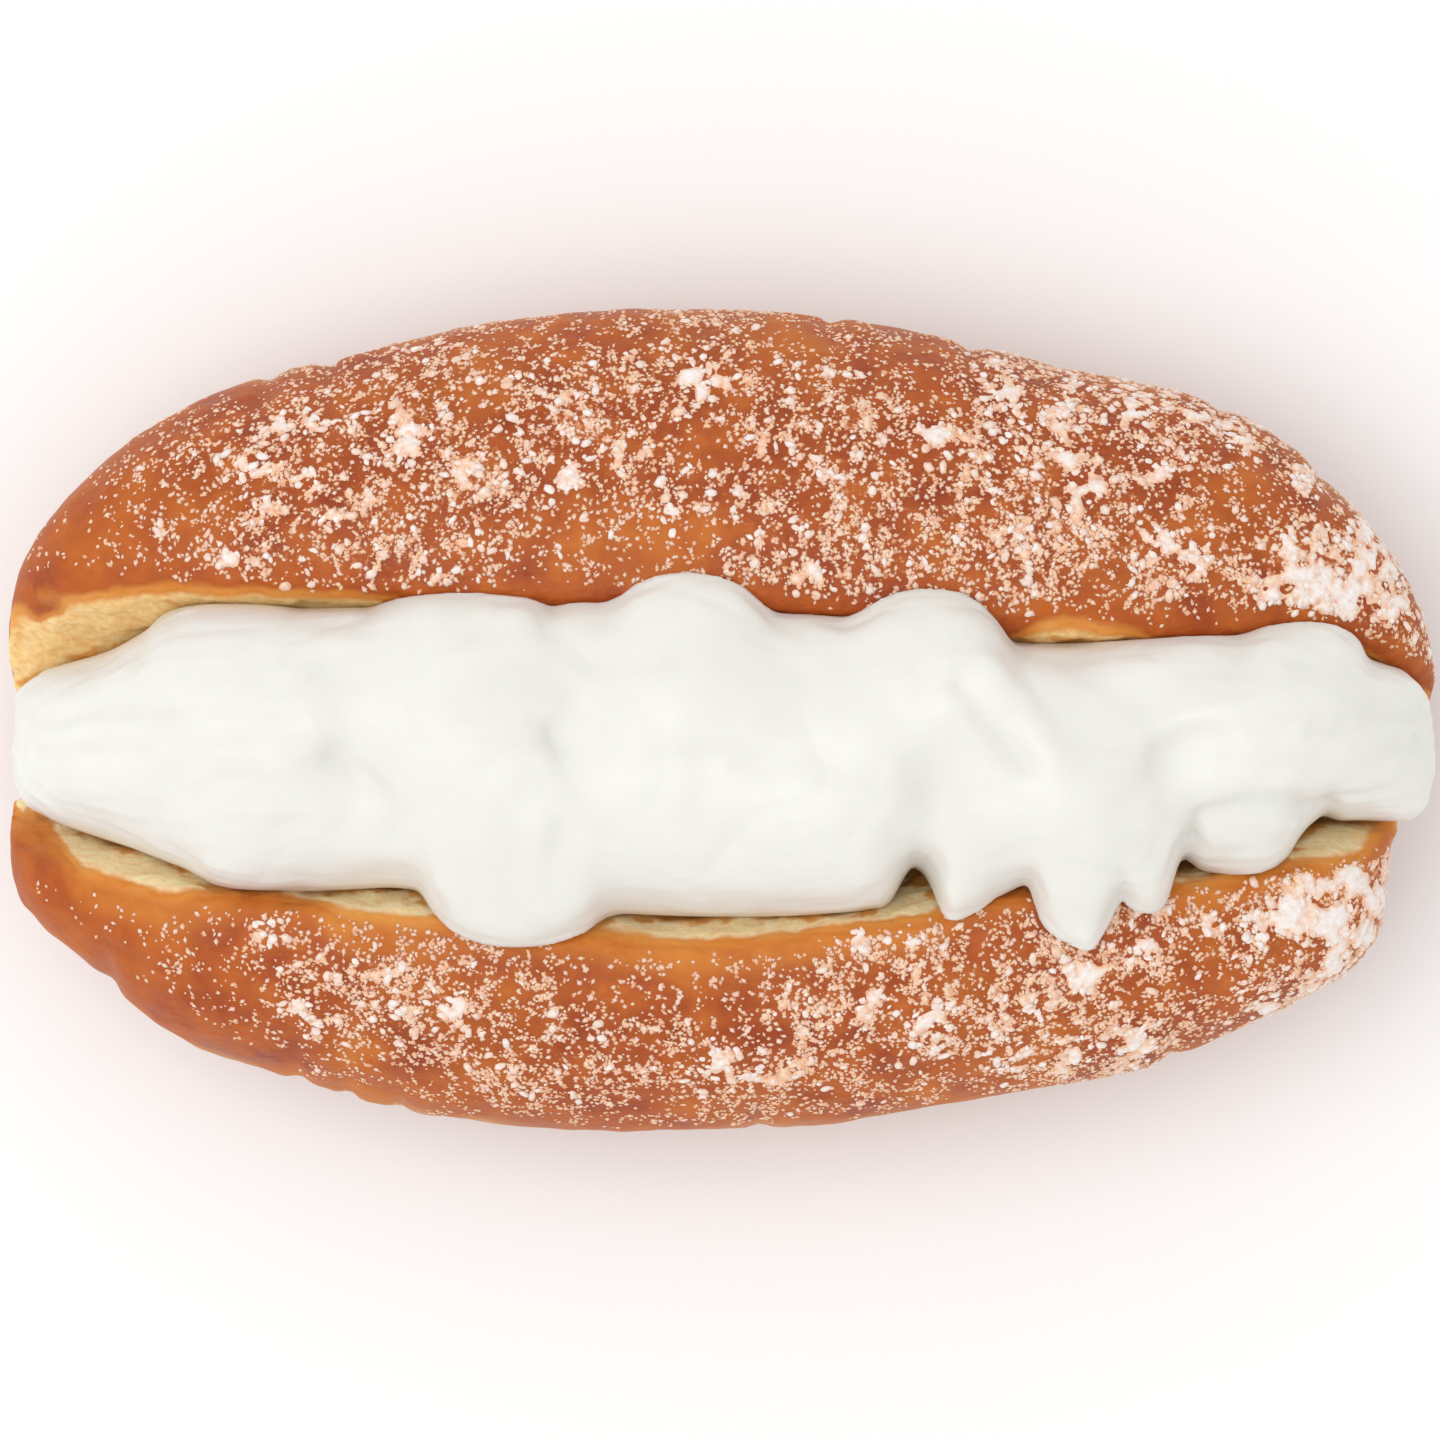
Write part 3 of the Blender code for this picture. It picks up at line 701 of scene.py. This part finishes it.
def make_crust():
    """The fried dough: (piece, points, normals, distance of each point from the slit's edge).

    It adds the crust's small unevenness and the torn crumb of the slit, and what the material reads.
    """
    mesh = fine_mesh("doughnut", CRUST_VOXEL, 10)
    points, normals = read_points(mesh)
    edge = averaged(mesh, distance_from_edge(points), 6)
    on_wall = smooth(-edge, 0.2, 1.4)
    puckers = 0.16 * hills(points, 5 * MM, 11) + 0.10 * hills(points, 2.2 * MM, 12) - 0.12
    pores = np.minimum(0, 0.35 - hills(points, 2.0 * MM, 13)) * 0.7
    crumb = 0.35 * hills(points, 4.5 * MM, 14) + 0.22 * hills(points, 1.8 * MM, 15) + pores
    x, y = points[:, 0] / MM, points[:, 1] / MM
    half_length, half_width = PUCKER_HALF_SIZE
    for centre_x, centre_y in PUCKERS:
        away = ((x - centre_x) / half_length) ** 2 + ((y - centre_y) / half_width) ** 2
        puckers -= PUCKER_DEPTH * np.exp(-away)
    rise = (1 - on_wall) * puckers + on_wall * crumb
    points = points + normals * (rise * MM)[:, None]
    points[:, 2] = np.maximum(points[:, 2], 0)
    write_points(mesh, points)
    points, normals = read_points(mesh)
    x, z = points[:, 0] / MM, points[:, 2]
    ring = np.exp(-(((z - WAIST_Z) / WAIST_HALF_WIDTH + 0.7 * hills(points, 14 * MM, 16)) ** 2))
    write_attribute(mesh, "from_edge", edge)
    write_attribute(mesh, "brownness", edge + averaged(mesh, browning(points), 3))
    write_attribute(mesh, "waist", 0.62 * ring * smooth(edge, 2, 9))
    write_attribute(mesh, "left_end", smooth(-x, 44, 66))
    write_attribute(mesh, "far_side", points[:, 1] > SLIT_BOTTOM_Y)
    # Painted shade: the crumb is painted darker tan where it meets the cream. A flap of crumb beside the far
    # edge gets none and stays pale right up to the cream
    flap = (points[:, 1] > 0) * smooth(x, -57, -53) * (1 - smooth(x, -38, -34))
    write_attribute(mesh, "cream_seam_shade", closeness_to_cream(points, edge) - flap)
    write_attribute(mesh, "dust", 0.9 * dusting(points, normals, edge))
    crust = link_piece("fried_dough", mesh, crust_material())
    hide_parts("doughnut")
    return crust, points, normals, edge


def fold_relief(x, y):
    """How far the creases and ridges of the cream lift it at each (x, y), in millimetres."""
    lift = np.zeros(len(x))
    for height, half_width, run in CREAM_FOLDS:
        nearest = np.full(len(x), 1e9)
        for (x0, y0), (x1, y1) in zip(run, run[1:]):
            length = (x1 - x0) ** 2 + (y1 - y0) ** 2
            share = np.clip(((x - x0) * (x1 - x0) + (y - y0) * (y1 - y0)) / length, 0, 1)
            away = (x - x0 - share * (x1 - x0)) ** 2 + (y - y0 - share * (y1 - y0)) ** 2
            nearest = np.minimum(nearest, away)
        lift += height * np.exp(-nearest / half_width**2)
    return lift


def make_cream():
    """The whipped cream, with soft folds, creases and drag lines on its top."""
    mesh = fine_mesh("cream", CREAM_VOXEL, 5)
    points, normals = read_points(mesh)
    x, y = points[:, 0] / MM, points[:, 1] / MM
    for centre_x, centre_y, half_length, half_width, push_x, push_y in CREAM_CORNERS:
        share = np.exp(-(((x - centre_x) / half_length) ** 2) - ((y - centre_y) / half_width) ** 2)
        points = points + share[:, None] * (push_x * MM, push_y * MM, 0)
    on_top = smooth(normals[:, 2], -0.1, 0.35)
    drift = np.stack([hills(points, 12 * MM, seed) for seed in (21, 22, 23)], axis=1) * 5 * MM
    wobble = drift / MM * 0.3
    folds = fold_relief(x + wobble[:, 0], y + wobble[:, 1])
    crease = (1 - np.abs(hills(points + drift, 13 * MM, 24))) ** 5
    ripples = hills(points + 0.5 * drift, 4.2 * MM, 25)
    along_x = points * (0.14, 1.0, 1.0)
    drag = hills(along_x + 0.2 * drift, 1.9 * MM, 26) * (0.25 + 0.75 * smooth(np.abs(x), 30, 55))
    relief = folds - 0.22 * crease + 0.2 * ripples + 0.15 * drag - 0.45
    ragged_end = smooth(np.abs(x), 69, 72) * 0.5 * hills(points, 3 * MM, 27)
    rise = 0.35 + on_top * relief + ragged_end
    write_points(mesh, points + normals * (rise * MM)[:, None])
    cream = link_piece("whipped_cream", mesh, cream_material())
    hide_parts("cream")


def make_sugar_coat(crust, edge, sugar):
    """Sugar that lies as a thin ragged coat: blotches that rise out of the crust and end just under it."""
    mesh = crust.data.copy()
    points, normals = read_points(mesh)
    dust = dusting(points, normals, edge)
    faces = np.array([p.vertices[:] for p in mesh.polygons])
    drop_faces(mesh, (dust[faces].max(axis=1) < BARE_BELOW).nonzero()[0])
    coat = under_modifiers(mesh, ("SUBSURF", {"subdivision_type": "SIMPLE", "levels": 1}))
    points, normals = read_points(coat)
    from_edge = np.empty(len(points), np.float32)
    coat.attributes["from_edge"].data.foreach_get("value", from_edge)
    dust = dusting(points, normals, from_edge)
    spots = clump_thickness(points)
    height = COAT_LEVEL + 0.85 * speckle(points) + 0.7 * dust + 1.05 * spots * smooth(dust, 0.02, 0.2)
    rise = np.clip(height * COAT_RISE, -0.2, 0.3)
    write_points(coat, inside_box(points + normals * (rise * MM)[:, None]))
    write_attribute(coat, "thickness", np.clip(smooth(height, 0.0, 0.55) * 0.7 + 0.5 * spots, 0, 1))
    faces = np.array([p.vertices[:] for p in coat.polygons])
    drop_faces(coat, (height[faces].max(axis=1) < 0).nonzero()[0])
    drop_islands(coat, LEAST_COAT_FACES)
    closed = under_modifiers(coat, ("SOLIDIFY", {"thickness": COAT_DEPTH, "offset": -1}))
    link_piece("sugar_coat", closed, sugar)


def scatter(mesh, points, normals, count, seed, wanted, bunching):
    """Places for grains on the crust: (places, normals, random source), at most count of them.

    They lie thicker where wanted is higher, and bunching from 0 to 1 gathers them in the speckle.
    """
    rng = np.random.default_rng(seed)
    mesh.calc_loop_triangles()
    corners = np.empty(len(mesh.loop_triangles) * 3, np.int32)
    mesh.loop_triangles.foreach_get("vertices", corners)
    corners = corners.reshape(-1, 3)
    spots = points[corners]
    area = np.linalg.norm(np.cross(spots[:, 1] - spots[:, 0], spots[:, 2] - spots[:, 0]), axis=1)
    weight = area * wanted[corners].mean(axis=1)
    tries = count * 4
    chosen = rng.choice(len(corners), size=tries, p=weight / weight.sum())
    share = rng.dirichlet((1, 1, 1), size=tries)[:, :, None]
    place = (points[corners[chosen]] * share).sum(axis=1)
    up = (normals[corners[chosen]] * share).sum(axis=1)
    chance = 1 - bunching * (1 - smooth(speckle(place), -0.15, 0.4))
    kept = (rng.uniform(0, 1, tries) < chance).nonzero()[0][:count]
    return place[kept], up[kept] / np.linalg.norm(up[kept], axis=1)[:, None], rng


def primitive(kind, **sizes):
    """(points, faces) of a small closed shape of radius 1, as a pattern for grains."""
    bm = bmesh.new()
    getattr(bmesh.ops, kind)(bm, **sizes)
    points = np.array([v.co[:] for v in bm.verts])
    faces = np.array([[v.index for v in f.verts] for f in bm.faces])
    bm.free()
    return points, faces


def joined_grains(name, pattern, place, up, radius, thickness, rng, sugar):
    """One piece of many small irregular grains, each sunk a little in the crust."""
    shape, faces = pattern
    count = len(place)
    spin = rng.normal(size=(count, 3))
    side = np.cross(up, spin)
    side /= np.linalg.norm(side, axis=1)[:, None]
    other = np.cross(up, side)
    long = radius * rng.uniform(0.8, 1.5, count)
    wide = radius * rng.uniform(0.6, 1.0, count)
    tall = radius * rng.uniform(0.35, 0.65, count)
    uneven = shape[None] * rng.uniform(0.75, 1.2, (count, len(shape), 1))
    points = (
        place[:, None]
        + uneven[:, :, 0:1] * (side * long[:, None])[:, None]
        + uneven[:, :, 1:2] * (other * wide[:, None])[:, None]
        + (uneven[:, :, 2:3] + 0.15) * (up * tall[:, None])[:, None]
    )
    points = inside_box(points)
    all_faces = faces[None] + (np.arange(count) * len(shape))[:, None, None]
    mesh = bpy.data.meshes.new(name)
    mesh.vertices.add(points.shape[0] * points.shape[1])
    mesh.vertices.foreach_set("co", points.astype(np.float32).ravel())
    size = faces.shape[1]
    mesh.loops.add(all_faces.size)
    mesh.loops.foreach_set("vertex_index", all_faces.astype(np.int32).ravel())
    mesh.polygons.add(all_faces.size // size)
    mesh.polygons.foreach_set("loop_start", np.arange(0, all_faces.size, size, dtype=np.int32))
    mesh.polygons.foreach_set("loop_total", np.full(all_faces.size // size, size, np.int32))
    mesh.update(calc_edges=True)
    write_attribute(mesh, "thickness", np.repeat(thickness, len(shape)))
    link_piece(name, mesh, sugar)


def make_sugar_grains(crust, points, normals, edge, sugar):
    """Loose grains, lumps and clumps of sugar."""
    dust = dusting(points, normals, edge)
    spots = clump_thickness(points) * smooth(dust, 0.02, 0.2)
    grain = octahedron()
    lump = primitive("create_icosphere", subdivisions=1, radius=1)
    clump = primitive("create_icosphere", subdivisions=2, radius=1)
    on_far, on_near = ((0.03 + dust) * (dust > 0.03) * (points[:, 1] * half > 0) for half in (1, -1))
    batches = (
        ("sugar_grains_far", grain, FAR_GRAINS, 41, on_far, 0.84, GRAIN_RADII, GRAIN_WHITENESS),
        ("sugar_grains_near", grain, NEAR_GRAINS, 42, on_near, 0.84, GRAIN_RADII, GRAIN_WHITENESS),
        ("sugar_lumps", lump, LUMPS, 43, dust**2 + 0.6 * spots, 0.85, LUMP_RADII, LUMP_WHITENESS),
        ("sugar_clumps", clump, CLUMP_BALLS, 44, spots**2, 0.5, CLUMP_RADII, CLUMP_WHITENESS),
    )
    for name, pattern, count, seed, wanted, bunching, radii, whiteness in batches:
        place, up, rng = scatter(crust.data, points, normals, count, seed, wanted, bunching)
        radius = rng.uniform(*radii, len(place)) * MM
        thickness = rng.uniform(*whiteness, len(place))
        joined_grains(name, pattern, place, up, radius, thickness, rng, sugar)


def octahedron():
    """(points, faces) of the smallest rounded grain."""
    points = np.array([(1, 0, 0), (0, 1, 0), (-1, 0, 0), (0, -1, 0), (0, 0, 1), (0, 0, -1)], float)
    ring = [(0, 1), (1, 2), (2, 3), (3, 0)]
    faces = [(a, b, 4) for a, b in ring] + [(b, a, 5) for a, b in ring]
    return points, np.array(faces)


def make_floor():
    """A plain pale floor, a hair under the doughnut so that the two don't share a plane."""
    bpy.ops.mesh.primitive_plane_add(size=6, location=(0, 0, -0.0002))
    floor = bpy.context.object
    floor.name = "floor"
    material, _, shader, _ = new_material("floor")
    shader.inputs["Base Color"].default_value = srgb(253, 253, 253)
    shader.inputs["Roughness"].default_value = 0.9
    floor.data.materials.append(material)


def make_light(name, place, size, power):
    """A round soft light that shines at the doughnut."""
    data = bpy.data.lights.new(name, "AREA")
    data.shape = "DISK"
    data.size = size
    data.energy = power
    light = bpy.data.objects.new(name, data)
    light.location = place
    light.rotation_euler = (-Vector(place)).to_track_quat("-Z", "Y").to_euler()
    bpy.context.scene.collection.objects.link(light)


def make_studio():
    """Soft light from all round, a little stronger from above and the left."""
    world = bpy.data.worlds.new("studio")
    bpy.context.scene.world = world
    world.use_nodes = True
    background = world.node_tree.nodes["Background"]
    background.inputs["Color"].default_value = (1, 1, 1, 1)
    background.inputs["Strength"].default_value = 0.82
    make_light("key", place=(-0.35, 0.0, 1.0), size=0.9, power=3.6)
    bpy.context.scene.view_settings.view_transform = "Standard"


def make_camera():
    """Straight above, so that the doughnut fills the square picture as photographed."""
    data = bpy.data.cameras.new("camera")
    data.sensor_width = SENSOR
    data.lens = SENSOR * (CAMERA_HEIGHT - FRAMED_LEVEL) / FRAME_WIDTH
    camera = bpy.data.objects.new("camera", data)
    camera.location = (0, 0, CAMERA_HEIGHT)
    bpy.context.scene.collection.objects.link(camera)
    bpy.context.scene.camera = camera


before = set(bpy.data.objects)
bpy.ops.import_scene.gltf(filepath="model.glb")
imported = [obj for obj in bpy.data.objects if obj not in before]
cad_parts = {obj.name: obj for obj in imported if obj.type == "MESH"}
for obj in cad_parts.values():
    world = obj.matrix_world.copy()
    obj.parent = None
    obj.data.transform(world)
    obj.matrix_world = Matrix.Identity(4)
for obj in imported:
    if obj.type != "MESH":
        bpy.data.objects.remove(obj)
cad_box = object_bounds()
crust, points, normals, edge = make_crust()
make_cream()
sugar = sugar_material()
make_sugar_coat(crust, edge, sugar)
make_sugar_grains(crust, points, normals, edge, sugar)
make_floor()
make_studio()
make_camera()
